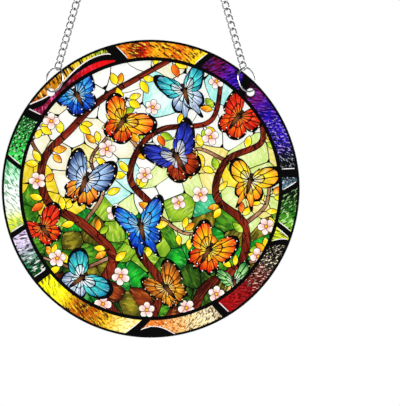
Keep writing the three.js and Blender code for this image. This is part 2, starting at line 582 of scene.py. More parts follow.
@dataclass(frozen=True)
class Butterfly:
    """A butterfly seen from above, or half from the side where `lean` narrows one pair of wings.

    A wing is worked out in polar form about its root: its outline is at R(angle) times the wing
    length, where R is a smooth curve through the listed reaches, and a cell lies between two veins
    and between two shares of R. `root_cell` and `outer_cell` are such shares, and so is
    `spot_place`. Other sizes are shares of the wing length, apart from `length`, `lead`,
    `body_lead` and `feeler_width`, which are millimetres.
    """

    at: Spot
    length: float
    heading: float
    palette: Palette
    lean: float = 1.0
    fore_reach: Reach = ROUND_FORE
    hind_reach: Reach = ROUND_HIND
    fore_veins: tuple[float, ...] = (-19, 4, 23, 40, 56, 73)
    hind_veins: tuple[float, ...] = (-112, -88, -64, -40, -15)
    lead: float = 0.42
    widest_pad: float = 0.38
    wing_root: Spot = (0.02, 0.0)
    root_cell: Spot = (0.14, 0.43)
    outer_cell: Spot = (0.47, 0.88)
    spot_place: float = 0.93
    spot_size: Spot = (0.034, 0.052)
    feeler: tuple[Spot, ...] = ((0.01, 0.12), (0.08, 0.32), (0.2, 0.46))
    feeler_width: float = 0.32
    knob_size: Spot = (0.05, 0.05)
    knob_at: Spot = (0.2, 0.47)
    body_size: Spot = (0.72, 0.12)
    body_at: Spot = (0.0, -0.12)
    head_size: Spot = (0.12, 0.12)
    head_at: Spot = (0.0, 0.2)
    body_lead: float = 0.25

    def place(self, points: np.ndarray, side: int) -> np.ndarray:
        """Put points of the right wing on one side of the body, and the body on the panel.

        Args:
            points: (n, 2) array, for a wing one unit long.
            side: 1 for the right wing, -1 for the left.

        Returns:
            The points on the panel.
        """
        squeeze = self.lean if side < 0 else 1.0
        local = points * np.array([side * squeeze, 1.0]) * self.length
        return turned(local if side > 0 else local[::-1], self.heading, self.at)

    def cell(self, reach: Reach, start: float, end: float, near: float, far: float) -> np.ndarray:
        """A cell between two veins, from the share `near` of the wing's reach to `far`.

        Both its ends stop half a lead line short of the veins, which takes a wider angle near the
        root than at the margin, but never more than `widest_pad` of the angle between them.

        Args:
            reach: the wing's angles and reaches.
            start: the first vein's angle.
            end: the second vein's angle.
            near: where the cell starts.
            far: where it ends.

        Returns:
            The outline, for a wing one unit long.
        """
        angles, reaches = np.array(reach, float).T
        rows = []
        for share, order in ((near, -1), (far, 1)):
            middle = share * float(np.interp((start + end) / 2, angles, reaches))
            pad = math.degrees(self.lead / 2 / self.length / middle)
            pad = min(pad, self.widest_pad * (end - start))
            a = np.linspace(start + pad, end - pad, num=6)[::order]
            rows.append(polar(90 - a, share * np.interp(a, angles, reaches)))
        return corner_cut(np.vstack(rows))

    def wing(
        self, picture: Picture, side: int, reach: Reach, veins: tuple[float, ...], glass: Glass
    ) -> None:
        """Lay one wing: black, then its cells between the veins, then the spots at its margin.

        Args:
            picture: where it is laid.
            side: 1 for the right wing, -1 for the left.
            reach: the wing's angles and reaches.
            veins: the veins' angles.
            glass: what fills its outer cells.
        """
        angles, reaches = np.array(reach, float).T
        fine = spline(np.column_stack([angles, reaches]), per_span=4)
        picture.lead(self.place(np.vstack([self.wing_root, polar(90 - fine[:, 0], fine[:, 1])]), side))
        for start, end in zip(veins, veins[1:]):
            middle = (start + end) / 2
            pull = self.heading + (middle if side > 0 else 180 - middle)
            for share, kind in ((self.root_cell, self.palette.root), (self.outer_cell, glass)):
                shape = self.cell(reach, start, end, *share)
                picture.lay(self.place(shape, side), kind, Shading.ALONG, pull)
            at = self.spot_place * float(np.interp(middle, angles, reaches))
            dot = turned(oval(*self.spot_size, sides=8) + np.array([at, 0.0]), middle)
            picture.lay(self.place(dot, side), self.palette.spots)

    def draw(self, picture: Picture) -> None:
        """Lay hind wings, fore wings, feelers, body and head in that order.

        Args:
            picture: where they are laid.
        """
        for side in (-1, 1):
            self.wing(picture, side, self.hind_reach, self.hind_veins, self.palette.hind)
        for side in (-1, 1):
            self.wing(picture, side, self.fore_reach, self.fore_veins, self.palette.fore)
        for side in (-1, 1):
            line = ribbon(spline(self.feeler, per_span=5), self.feeler_width / self.length)
            picture.lead(self.place(line, side))
            picture.lead(self.place(turned(oval(*self.knob_size, sides=8), 0, self.knob_at), side))
        body = turned(oval(*self.body_size, sides=18), 90, self.body_at)
        head = turned(oval(*self.head_size, sides=12), 0, self.head_at)
        for part, glass in ((body, BODY), (head, HEAD)):
            placed = turned(part * self.length, self.heading, self.at)
            picture.leaded(placed, glass, came=self.body_lead)


@dataclass(frozen=True)
class Vine:
    """A stem through given knots, thick at its foot, with leaves set along it.

    The stem is `lead` wider in black than in glass, which is parted every `joint_steps` points by a
    joint that takes up `joint_share` of the way to the next point. The first and last leaf stand at
    shares of the stem's length. Leaves leave the stem at `leaf_angle`, and the second of two at
    `next_angle` more. The pairs of numbers at the end are the shares between which a leaf's length
    and breadth vary.
    """

    knots: tuple[Spot, ...]
    foot: float
    tip: float
    glass: Glass = BARK
    leaves: int = 10
    first_leaf: float = 0.2
    leaf_length: float = 6.4
    seed: int = 1
    lead: float = 0.9
    joint_steps: int = 19
    joint_share: float = 0.3
    last_leaf: float = 0.99
    leaf_angle: float = 48.0
    next_angle: float = 44.0
    angle_play: float = 10.0
    stalk: float = 1.8
    stalk_play: float = 1.2
    stalk_width: float = 0.5
    shading_turn: float = 70.0
    lengths: Spot = (0.82, 1.12)
    breadths: Spot = (0.46, 0.58)

    def path(self) -> np.ndarray:
        """The stem's middle line."""
        return spline(self.knots, per_span=10)

    def draw_stem(self, picture: Picture) -> None:
        """Lay the stem in black and then in lengths of glass parted by thin black joints.

        Args:
            picture: where it is laid.
        """
        path = self.path()
        widths = np.linspace(self.foot, self.tip, len(path))
        picture.lead(ribbon(path, widths + self.lead))
        for start in range(0, len(path) - 1, self.joint_steps):
            part = slice(start, min(start + self.joint_steps + 1, len(path)))
            points = path[part].copy()
            if len(points) < 3:
                continue
            if start:
                points[0] += (points[1] - points[0]) * self.joint_share
            lean = math.degrees(math.atan2(*(points[-1] - points[0])[::-1]))
            picture.lay(ribbon(points, widths[part]), self.glass, Shading.ALONG, lean + 90, lean)

    def draw_leaves(self, picture: Picture) -> None:
        """Lay leaves on short stalks, on either side in turn, mostly two together.

        Args:
            picture: where they are laid.
        """
        rng = np.random.default_rng(self.seed)
        path = self.path()
        for k, share in enumerate(np.linspace(self.first_leaf, self.last_leaf, self.leaves)):
            i = min(int(share * (len(path) - 1)), len(path) - 2)
            lean = math.degrees(math.atan2(*(path[i + 1] - path[i])[::-1]))
            side = 1 if k % 2 else -1
            for n in range(2 if k % 3 else 1):
                play = rng.uniform(-self.angle_play, self.angle_play)
                angle = lean + side * (self.leaf_angle + self.next_angle * n + play)
                stalk = self.stalk + rng.uniform(0, self.stalk_play)
                root = path[i] + turned(np.array([[stalk, 0]]), angle)[0]
                picture.lead(ribbon(np.vstack([path[i], root]), self.stalk_width))
                length = self.leaf_length * rng.uniform(*self.lengths)
                shape = leaf(length, length * rng.uniform(*self.breadths))
                glass = LEAF_KINDS[int(rng.integers(len(LEAF_KINDS)))]
                blade = turned(shape, angle, tuple(root))
                picture.leaded(blade, glass, Shading.ALONG, angle + self.shading_turn)


@dataclass(frozen=True)
class Blossom:
    """A small open flower: four or five rounded petals about a yellow heart.

    A petal's breadth and the heart are shares of the flower's size.
    """

    at: Spot
    size: float
    petals: int
    turn: float
    glass: Glass = BLOSSOM
    breadth_of_four: float = 0.52
    breadth_of_five: float = 0.46
    heart: float = 0.2
    petal_lead: float = 0.26
    heart_lead: float = 0.22

    def draw(self, picture: Picture) -> None:
        """Lay the petals, each with its black line, then the heart.

        Args:
            picture: where they are laid.
        """
        width = self.size * (self.breadth_of_five if self.petals == 5 else self.breadth_of_four)
        for k in range(self.petals):
            angle = self.turn + 360 * k / self.petals
            shape = turned(petal(self.size / 2, width), angle, self.at)
            picture.leaded(shape, self.glass, Shading.ALONG, angle + 180, self.petal_lead)
        heart = oval(self.size * self.heart, self.size * self.heart, sides=10)
        picture.leaded(turned(heart, 0, self.at), HEART, came=self.heart_lead)


@dataclass(frozen=True)
class Level:
    """The glass of the panes above a height, near the middle line and to the sides of it."""

    above: float
    middle: tuple[Glass, ...]
    sides: tuple[Glass, ...]


@dataclass(frozen=True)
class Background:
    """The leaded panes behind the picture, as far as `reach` from the middle.

    Two neighbours are at least `closest` apart, and `wider` more at the top of the slope that
    starts at the height `slope_foot` and is `slope` high. Lines between panes are bent by waves of
    the size `wave`, whose four lengths are in `wave_lengths`. `disorder` and `sag` move the glass
    of a pane up or down, and glass changes at `middle_half` to each side of the middle line.
    """

    reach: float
    tries: int = 9000
    closest: float = 7.6
    wider: float = 6.4
    slope_foot: float = -24.0
    slope: float = 70.0
    cell_size: float = 60.0
    neighbours: int = 19
    half_lead: float = 0.2
    edge_points: int = 4
    wave: float = 2.2
    wave_lengths: tuple[float, float, float, float] = (6.1, 13.0, 5.3, 11.0)
    disorder: float = 5.0
    sag: float = 0.1
    middle_half: float = 28.0

    def levels(self) -> tuple[Level, ...]:
        """The kinds of glass from the top down: white, cream and blue-green, yellow, green.

        Returns:
            The levels, the highest first.
        """
        top, low = (SNOW, SNOW, SNOW, CREAM, PALE_AQUA), (MEADOW, LIME, EMERALD, OLIVE, MEADOW)
        foot = (MOSS, MEADOW, OLIVE, MOSS, EMERALD, RUST)
        return (
            Level(20, top, top),
            Level(3, (SNOW, CREAM, PALE_AQUA, PALE_LIME), (CREAM, SNOW, PALE_LIME, STRAW)),
            Level(-10, (PALE_AQUA, TURQUOISE, SNOW, MINT), (STRAW, YELLOW, PALE_LIME, CREAM)),
            Level(-22, (MINT, PALE_LIME, JADE, LIME), (LIME, PALE_LIME, YELLOW, MEADOW)),
            Level(-42, low, low),
            Level(-math.inf, foot, foot),
        )

    def sites(self, rng: np.random.Generator) -> np.ndarray:
        """Scatter the panes' sites, further apart towards the top.

        Args:
            rng: the seeded source of the scatter.

        Returns:
            (n, 2) array.
        """
        sites: list[np.ndarray] = []
        for _ in range(self.tries):
            p = rng.uniform(-self.reach, self.reach, 2)
            if np.hypot(*p) > self.reach:
                continue
            height = np.clip((p[1] - self.slope_foot) / self.slope, 0, 1)
            if all(np.hypot(*(p - q)) > self.closest + self.wider * height for q in sites):
                sites.append(p)
        return np.array(sites)

    def cell(self, site: np.ndarray, sites: np.ndarray) -> np.ndarray:
        """What lies nearer to a site than to any other, less half a lead line.

        Args:
            site: the site.
            sites: all the sites.

        Returns:
            The outline.
        """
        distance = np.hypot(*(sites - site).T)
        cell = turned(oval(self.cell_size, self.cell_size, sides=24), 0, tuple(site))
        for j in np.argsort(distance)[1 : self.neighbours + 1]:
            normal = (sites[j] - site) / distance[j]
            cell = clipped(cell, normal, float(normal @ (site + sites[j]) / 2) - self.half_lead)
        return cell

    def bent(self, cell: np.ndarray) -> np.ndarray:
        """Round a cell's corners, and bend it by waves that run on from cell to cell.

        A point moves along X by the wave's size times sin(y/a + x/b), and along Y by the same
        times sin(x/c - y/d), with a to d the four wave lengths.

        Args:
            cell: the cell.

        Returns:
            The new outline.
        """
        edges = zip(cell, np.roll(cell, -1, 0))
        dense = np.concatenate([np.linspace(p, q, self.edge_points)[:-1] for p, q in edges])
        shape = corner_cut(dense)
        x, y = shape.T
        a, b, c, d = self.wave_lengths
        return shape + self.wave * np.column_stack([np.sin(y / a + x / b), np.sin(x / c - y / d)])

    def glass(self, at: np.ndarray, rng: np.random.Generator) -> Glass:
        """Pick a pane's glass by its place, moved up or down a little by some disorder.

        Args:
            at: the pane's site.
            rng: the seeded source of the disorder and the pick.

        Returns:
            The glass.
        """
        x, y = at
        height = y + rng.normal(0, self.disorder) - self.sag * abs(x)
        level = next(level for level in self.levels() if height > level.above)
        kinds = level.middle if abs(x) < self.middle_half else level.sides
        return kinds[int(rng.integers(len(kinds)))]

    def draw(self, picture: Picture, rng: np.random.Generator) -> None:
        """Lay every pane, each with its own direction of shading.

        Args:
            picture: where they are laid.
            rng: the seeded source of the scatter.
        """
        sites = self.sites(rng)
        for site in sites:
            cell = self.cell(site, sites)
            if len(cell) >= 3:
                glass = self.glass(site, rng)
                picture.lay(self.bent(cell), glass, Shading.ROUND, float(rng.uniform(0, 180)))


@dataclass(frozen=True)
class RimGlass:
    """A length of the border: its end bearings, its web colours in turn, and its streaks.

    `flecks` and `shades` are how strong the light and the dark streaks are, at the start and end.
    """

    start: float
    end: float
    tints: str
    fleck: str
    flecks: Spot
    shade: str
    shades: Spot
    streak: Spot
    streak_turn: float = 0.0


@dataclass(frozen=True)
class RimBar:
    """A black bar across the border.

    Its bearing is that of its middle. It slants by `slant` degrees from inside to outside, and
    bows by `bow`. White lines can run along the side of lower bearing, before it, or after it.
    """

    bearing: float
    width: float
    slant: float = 0.0
    bow: float = 0.0
    light_before: bool = False
    light_after: bool = False


@dataclass(frozen=True)
class Border:
    """The border of streaky coloured glass, with its bars, an S-curve and a half-lens.

    The lines of the S-curve and the half-lens are pairs of a bearing and a radius. `scroll_under`
    and `lens_over` are how far the black of each runs on into the rings beside the border. A bar
    runs on by `overrun`, a share of the border's breadth. `highlight` and `scroll_highlight` are
    the widths of the white lines.
    """

    inside: float = 66.2
    outside: float = 73.7
    highlight: float = 0.42
    clear: float = 0.04
    overrun: float = 0.05
    scroll_highlight: float = 0.55
    scroll_line: tuple[Spot, ...] = (
        (305.0, 74.0), (310.2, 70.4), (315.6, 68.9), (322.4, 69.7), (328.8, 71.0), (334.7, 71.9),
        (340.1, 71.7), (344.0, 70.3), (347.2, 68.0),
    )
    scroll_start: Spot = (303.0, 74.0)
    scroll_top: tuple[Spot, ...] = (
        (303.9, 71.3), (307.9, 68.3), (312.8, 68.1), (319.3, 67.7), (325.6, 68.6), (332.1, 69.1),
        (338.6, 68.8), (344.5, 67.0),
    )
    scroll_tints: str = "8c0c44 a41448 b81850 5c0c18 a80c14 e01418 e81414 d81010"
    scroll_fleck: str = "ff8cc8"
    scroll_shade: str = "50040c"
    scroll_streak: Spot = (2.2, 0.7)
    scroll_streak_turn: float = 40.0
    scroll_streaks: float = 0.8
    scroll_fading: float = 0.13
    scroll_under: float = 0.4
    scroll_edge: float = 0.1
    scroll_patch: int = 40
    lens_line: tuple[Spot, ...] = (
        (170.6, 73.9), (174.6, 70.5), (178.8, 69.2), (182.2, 70.1), (186.4, 72.4),
    )
    lens_over: float = 0.6

    def lengths(self) -> tuple[RimGlass, ...]:
        """The coloured lengths.

        Returns:
            The lengths, clockwise from the top left.
        """
        wavy, fine, pebbly, brushed = (2.8, 0.75), (3.4, 0.65), (1.35, 0.7), (2.4, 0.7)
        return (
            RimGlass(FIRST_BAR, 22.5, "b02c08 f08414 900c08 e02c08 f8b418 f4ac14 ec780c f09810 fcd818 fce424",
                     "ffe450", (0.7, 0.9), "641404", (1.0, 1.0), wavy, -24),
            RimGlass(22.5, 42.5, "18020a 6c0834 94106c 5c14b4 1c0ca4 080440",
                     "a44cec", (0.3, 0.8), "0c0218", (1.0, 1.0), fine, 48),
            RimGlass(42.5, 60, "0c0206 5c0c34 8c147c 5414a4 1c0c98 3014b4",
                     "b060f0", (0.35, 0.8), "0c0218", (1.0, 0.9), fine, 48),
            RimGlass(60, 75.5, "3410b4 3c18bc 3014ac 100a48",
                     "c0a8f8", (0.8, 0.95), "08032c", (1.0, 1.0), pebbly, 58),
            RimGlass(75.5, 83.6, "100a48 040406 020203",
                     "c8ccd8", (0.75, 0.35), "020204", (1.0, 1.0), pebbly, 32),
            RimGlass(83.6, 90.2, "283c48 7090a0", "dcecf4", (0.6, 0.6), "101c20", (1.0, 1.0), pebbly, 40),
            RimGlass(90.2, 106.95, "020e06 0a3c14 287820 58a430 a4cc3c",
                     "d4fcb0", (0.5, 0.9), "021c0a", (1.0, 1.0), brushed, -42),
            RimGlass(106.95, 113.3, "ecf030 b4cc1c", "f4f890", (0.4, 0.4), "2c3c04", (0.9, 1.0), fine, 84),
            RimGlass(113.3, 124, "0a0806 1c180e 50443c",
                     "fff4d8", (0.8, 1.0), "0a0806", (1.0, 0.9), pebbly, -40),
            RimGlass(124, 135, "5c443c 70281f 901018",
                     "ffd4c4", (1.0, 0.6), "200808", (0.9, 0.9), pebbly, -40),
            RimGlass(135, 150, "901018 a80c14 b4080f 9c060c",
                     "e85058", (0.5, 0.2), "500308", (0.9, 0.7), pebbly, -30),
            RimGlass(150, 166, "988860 f4e8c0 f4e0a8 f0cc88",
                     "fffce8", (0.9, 0.8), "6c4818", (1.0, 0.9), pebbly, 34),
            RimGlass(166, 185, "f0cc88 f0b468 ec8c30 e88424 f0a03c",
                     "fff0c0", (0.8, 0.8), "b85c14", (0.9, 0.9), pebbly, -30),
            RimGlass(185, 198, "f8e858 fffcc0 fff484 f4cc2c",
                     "ffffd8", (0.5, 0.5), "d09410", (0.5, 0.9), pebbly, 20),
            RimGlass(198, 217, "f4cc2c e09414 c06c10 b8600c cc8010 f0cc14",
                     "fce850", (0.8, 0.7), "2c0c02", (0.9, 1.0), wavy, -22),
            RimGlass(217, 231.2, "f8dc14 fff814 ffff10 f8ec0c",
                     "ffffa0", (0.4, 0.2), "584404", (0.1, 1.0), wavy, -28),
            RimGlass(231.2, 252.2, "04200e 0c6c30 2c8c5c 9cb8b4 c8bcd8 ecdcf8 dcb8ec",
                     WHITE, (0.8, 0.8), "04100c", (1.0, 0.9), (2.6, 0.8), 84),
            RimGlass(252.2, 280.8, "b0bc18 ecf450 fcfff0 ffffff f4fff8 b4f0c8 60cc88",
                     WHITE, (0.3, 0.6), "2c9450", (0.6, 1.0), brushed, 40),
            RimGlass(280.8, 301.8, "58e870 3cd058 28b444 128030 082c12",
                     "c4fcc4", (0.8, 0.8), "021806", (1.0, 1.0), pebbly, -26),
            RimGlass(301.8, FIRST_BAR + 360, "8c300a c86c10 d88c10 e09c10 e8b414 ecdc24 98b420 184c14",
                     "fff088", (0.8, 0.7), "140402", (1.0, 1.0), (3.4, 0.85), 78),
        )

    def bars(self) -> tuple[RimBar, ...]:
        """The black bars.

        Returns:
            The bars, clockwise from the top left.
        """
        return (
            RimBar(FIRST_BAR, 5.4, -3.8, light_after=True),
            RimBar(22.5, 3.2, 3.4, light_before=True),
            RimBar(42.5, 4.8, -2.4),
            RimBar(83.6, 4.1, 0.6, light_before=True),
            RimBar(90.2, 3.0, -3.6, light_before=True),
            RimBar(106.95, 2.8, 2.6, light_before=True, light_after=True),
            RimBar(113.3, 3.0, -3.1, -0.7, light_before=True),
            RimBar(150.0, 3.7, -1.6, light_before=True),
            RimBar(185.0, 4.7, 6.0, light_after=True),
            RimBar(231.2, 3.3, 0.3, light_after=True),
            RimBar(252.2, 2.8, -1.7, light_after=True),
            RimBar(280.8, 2.5, 3.3, light_after=True),
            RimBar(301.8, 4.0, -0.8, light_after=True),
        )

    def draw(self, picture: Picture) -> None:
        """Lay the lengths, the S-curve, the half-lens and the bars in that order.

        Args:
            picture: where they are laid.
        """
        slants = {bar.bearing: bar.slant for bar in self.bars()}
        slants[FIRST_BAR + 360] = slants[FIRST_BAR]
        for patch, length in enumerate(self.lengths()):
            ends = (slants.get(length.start, 0.0), slants.get(length.end, 0.0))
            self.draw_length(picture, length, ends, patch)
        self.draw_scroll(picture)
        self.draw_lens(picture)
        for bar in self.bars():
            self.draw_bar(picture, bar)

    def draw_length(self, picture: Picture, length: RimGlass, slants: Spot, patch: int) -> None:
        """Lay one length, cut into short sectors whose tints follow one another.

        Args:
            picture: where they are laid.
            length: the length.
            slants: the slant of the bar at either end of it.
            patch: its number.
        """
        tints = length.tints.split()
        count = len(tints) - 1
        edges = np.linspace(length.start, length.end, count + 1)
        slant = np.linspace(*slants, count + 1) / 2
        for i in range(count):
            outer = arc(self.outside, edges[i] + slant[i], edges[i + 1] + slant[i + 1], steps=8)
            inner = arc(self.inside, edges[i + 1] - slant[i + 1], edges[i] - slant[i], steps=8)
            flecks, shades = (
                float(np.interp(i + 0.5, (0, count), ends)) for ends in (length.flecks, length.shades)
            )
            glass = ink(
                tints[i], tints[i + 1], length.fleck, flecks, length.shade, shades,
                self.clear, length.streak,
            )
            turn = -(edges[i] + edges[i + 1]) / 2
            sector = np.vstack([outer, inner])[::-1]
            picture.lay(sector, glass, Shading.ALONG, turn, length.streak_turn, patch)

    def across(self, bearing: float, slant: float, bow: float) -> np.ndarray:
        """A line across the border: bearing plus slant times u - 1/2, bowed by 4 u (1 - u).

        Args:
            bearing: at the middle of the border.
            slant: degrees from inside to outside.
            bow: degrees that the middle stands out.

        Returns:
            Points on the line, which runs a little past both edges.
        """
        u = np.linspace(-self.overrun, 1 + self.overrun, num=9)
        radius = self.inside + (self.outside - self.inside) * u
        return polar(bearing + slant * (u - 0.5) + bow * 4 * u * (1 - u), radius)

    def draw_bar(self, picture: Picture, bar: RimBar) -> None:
        """Lay one bar and the white lines along it.

        Args:
            picture: where they are laid.
            bar: the bar.
        """
        middle = (self.inside + self.outside) / 2
        half = math.degrees(bar.width / 2 / middle)
        sides = [self.across(bar.bearing + sign * half, bar.slant, bar.bow) for sign in (-1, 1)]
        picture.lead(np.vstack([sides[0], sides[1][::-1]]))
        shift = half + math.degrees(self.highlight / 2 / middle)
        for wanted, sign in ((bar.light_before, -1), (bar.light_after, 1)):
            if wanted:
                line = self.across(bar.bearing + sign * shift, bar.slant, bar.bow)[1:-1]
                picture.lay(ribbon(line, self.highlight), HIGHLIGHT)

    def draw_scroll(self, picture: Picture) -> None:
        """Lay the S-curve that parts the upper left length, with magenta and red glass inside it.

        Args:
            picture: where they are laid.
        """
        line = spline(self.scroll_line, per_span=5)
        foot = self.inside - self.scroll_under
        low = np.column_stack([line[::-1, 0], np.full(len(line), foot)])
        start, top = self.scroll_start
        picture.lead(polar(*np.vstack([line, low, [[start, foot], [start, top]]]).T))
        picture.lay(ribbon(polar(*line.T), self.scroll_highlight), HIGHLIGHT)
        upper = spline(self.scroll_top, per_span=6)
        tints = self.scroll_tints.split()
        cuts = np.linspace(0, len(upper) - 1, len(tints)).astype(int)
        for i in range(len(tints) - 1):
            top = upper[cuts[i] : cuts[i + 1] + 1]
            low = np.column_stack([top[::-1, 0], np.full(len(top), self.inside + self.scroll_edge)])
            amount = self.scroll_streaks - self.scroll_fading * i
            glass = ink(
                tints[i], tints[i + 1], self.scroll_fleck, amount, self.scroll_shade, amount,
                self.clear, self.scroll_streak,
            )
            outline, middle = polar(*np.vstack([top, low]).T), float(top[:, 0].mean())
            turn, patch = self.scroll_streak_turn, self.scroll_patch
            picture.lay(outline, glass, Shading.ALONG, -middle, turn, patch)

    def draw_lens(self, picture: Picture) -> None:
        """Lay the black half-lens on the outside of the border at the bottom, with its white arc.

        Args:
            picture: where they are laid.
        """
        line = spline(self.lens_line, per_span=6)
        back = arc(self.outside + self.lens_over, line[-1, 0], line[0, 0], steps=12)
        picture.lead(np.vstack([polar(*line.T), back]))
        picture.lay(ribbon(polar(*line.T), self.highlight), HIGHLIGHT)


@dataclass(frozen=True)
class PanelPrint:
    """The whole print: a leaded picture in a black ring, in a border of streaky coloured glass.

    The background reaches `margin` beyond the picture, under the ring.
    """

    radius: float
    picture_radius: float = 64.4
    margin: float = 6.0
    seed: int = 20
    rim_sides: int = 288
    ring_sides: int = 240

    def vines(self) -> tuple[Vine, ...]:
        """The stems: two that climb the sides and arch over, one in the middle, and their twigs.

        Returns:
            The vines, the large ones first.
        """
        return (
            Vine(((-14, -68), (-25, -52), (-19, -34), (-34, -18), (-52, -6), (-54, 14), (-40, 30),
                  (-26, 44), (-6, 56), (12, 66)), 5.0, 1.8, leaves=17, seed=3),
            Vine(((20, -68), (27, -50), (45, -38), (47, -18), (33, -4), (38, 14), (56, 24), (52, 44)),
                 4.6, 1.8, leaves=13, seed=5),
            Vine(((0, -68), (5, -48), (-6, -30), (2, -12), (-10, 4), (-6, 20), (6, 30), (30, 34), (36, 56)),
                 3.8, 1.5, leaves=13, seed=7),
            Vine(((-19, -34), (-36, -40), (-56, -34)), 1.7, 0.8, TWIG, 6, 0.35, seed=11),
            Vine(((-34, -18), (-24, -2), (-30, 14), (-22, 26)), 1.6, 0.7, TWIG, 7, 0.3, seed=13),
            Vine(((45, -38), (58, -34), (64, -22)), 1.6, 0.8, TWIG, 4, 0.4, seed=17),
            Vine(((47, -18), (58, -8), (60, 8)), 1.7, 0.8, TWIG, 5, 0.35, seed=19),
            Vine(((2, -12), (16, -22), (28, -22)), 1.6, 0.7, TWIG, 5, 0.4, seed=23),
            Vine(((-6, 20), (-16, 34), (-12, 46)), 1.5, 0.6, TWIG, 5, 0.3, seed=29),
            Vine(((38, 14), (24, 20), (18, 14)), 1.4, 0.6, TWIG, 4, 0.4, seed=31),
            Vine(((-54, 14), (-60, 26), (-52, 38)), 1.4, 0.6, TWIG, 4, 0.4, seed=37),
        )

    def butterflies(self) -> tuple[Butterfly, ...]:
        """The butterflies, each with its place, wing length, heading and palette.

        Returns:
            The butterflies in painter's order.
        """
        return (
            Butterfly((-37, 47), 14.5, 28, AZURE),
            Butterfly((-14, 34), 15.5, -34, FLAME, 0.8, LONG_FORE),
            Butterfly((17, 49), 15.0, 18, LAGOON, 1.0, POINTED_FORE, TAILED_HIND),
            Butterfly((44, 36), 15.5, -38, SCARLET, 0.85),
            Butterfly((13, 16), 18.0, 32, NAVY, 0.9, POINTED_FORE),
            Butterfly((50, 4), 14.5, -14, LEMON, 0.8, LONG_FORE, TAILED_HIND),
            Butterfly((-33, 4), 17.5, -22, SLATE, 0.85, ROUND_FORE, WAVED_HIND),
            Butterfly((-54, -20), 13.0, 36, SCARLET, 0.75, LONG_FORE),
            Butterfly((-5, -19), 16.5, 14, AZURE, 0.85, POINTED_FORE, TAILED_HIND),
            Butterfly((29, -31), 16.0, -30, FLAME, 0.9, ROUND_FORE, WAVED_HIND),
            Butterfly((-35, -45), 15.5, -52, LAGOON, 0.85, LONG_FORE),
            Butterfly((8, -50), 14.5, 40, RUSSET, 0.8, ROUND_FORE, WAVED_HIND),
            Butterfly((42, -47), 11.5, 16, FERN, 0.8, POINTED_FORE),
        )

    def blossoms(self) -> tuple[Blossom, ...]:
        """The small flowers, each with its place and size. Every third has four petals.

        Returns:
            The blossoms in painter's order.
        """
        spots = (
            (-50, 34, 8.2), (-57, 4, 8.6), (-22, 20, 8.8), (30, 26, 8.4), (1, 41, 7.8), (33, 54, 7.6),
            (25, -3, 8.8), (58, -19, 8.4), (-18, -12, 8.8), (14, -7, 7.6), (-47, -35, 8.8), (-15, -44, 9.2),
            (-24, -58, 8.6), (18, -60, 8.6), (33, -53, 8.2), (54, -34, 8.2), (-2, -61, 8.0), (-3, 7, 8.0),
        )
        step = 37.0
        return tuple(
            Blossom((x, y), size, 5 if i % 3 else 4, step * i) for i, (x, y, size) in enumerate(spots)
        )

    def draw(self) -> Picture:
        """Lay the whole print in painter's order.

        Returns:
            The picture, whose first pane is the black ground.
        """
        picture = Picture()
        picture.lead(arc(self.radius, 360, 0, self.rim_sides + 1)[:-1])
        sky = Background(self.picture_radius + self.margin)
        sky.draw(picture, np.random.default_rng(self.seed))
        vines = self.vines()
        for vine in reversed(vines):
            vine.draw_stem(picture)
        for vine in vines:
            vine.draw_leaves(picture)
        for piece in (*self.blossoms(), *self.butterflies()):
            piece.draw(picture)
        steps = self.ring_sides + 1
        ring = [arc(self.radius, 0, 360, steps), arc(self.picture_radius, 360, 0, steps)]
        picture.lead(np.vstack(ring)[::-1])
        Border().draw(picture)
        return picture


def fill_mesh(name: str, points: np.ndarray, faces: list[list[int]]) -> bpy.types.Mesh:
    """Make a mesh from points in millimetres.

    Args:
        name: the mesh's name.
        points: (n, 3) array.
        faces: the point numbers of each face.

    Returns:
        The mesh, in metres.
    """
    mesh = bpy.data.meshes.new(name)
    mesh.from_pydata((points * MM).tolist(), [], faces)
    mesh.update()
    return mesh


def add_piece(
    name: str, mesh: bpy.types.Mesh, materials: Sequence[bpy.types.Material]
) -> bpy.types.Object:
    """Put a mesh in the scene as an object at the origin.

    Args:
        name: the object's name.
        mesh: its mesh.
        materials: the mesh's materials in order.

    Returns:
        The object.
    """
    piece = bpy.data.objects.new(name, mesh)
    for material in materials:
        mesh.materials.append(material)
    bpy.context.scene.collection.objects.link(piece)
    return piece


def tube_faces(rings: int, sides: int, closed: bool) -> np.ndarray:
    """Quads between neighbouring rings of a tube whose rings start on the outside and turn to +Y.

    Args:
        rings: how many rings.
        sides: points in a ring.
        closed: whether the last ring joins the first.

    Returns:
        (n, 4) array of point numbers.
    """
    i, j = np.meshgrid(np.arange(rings if closed else rings - 1), np.arange(sides), indexing="ij")
    a, b = i * sides + j, i * sides + (j + 1) % sides
    c, d = ((i + 1) % rings) * sides + (j + 1) % sides, ((i + 1) % rings) * sides + j
    return np.stack([b, c, d, a], -1).reshape(-1, 4)


def node_box(node: str) -> tuple[np.ndarray, np.ndarray]:
    """The lowest and highest corner of a node's box, in millimetres."""
    low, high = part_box(node)
    return np.array(low) / MM, np.array(high) / MM


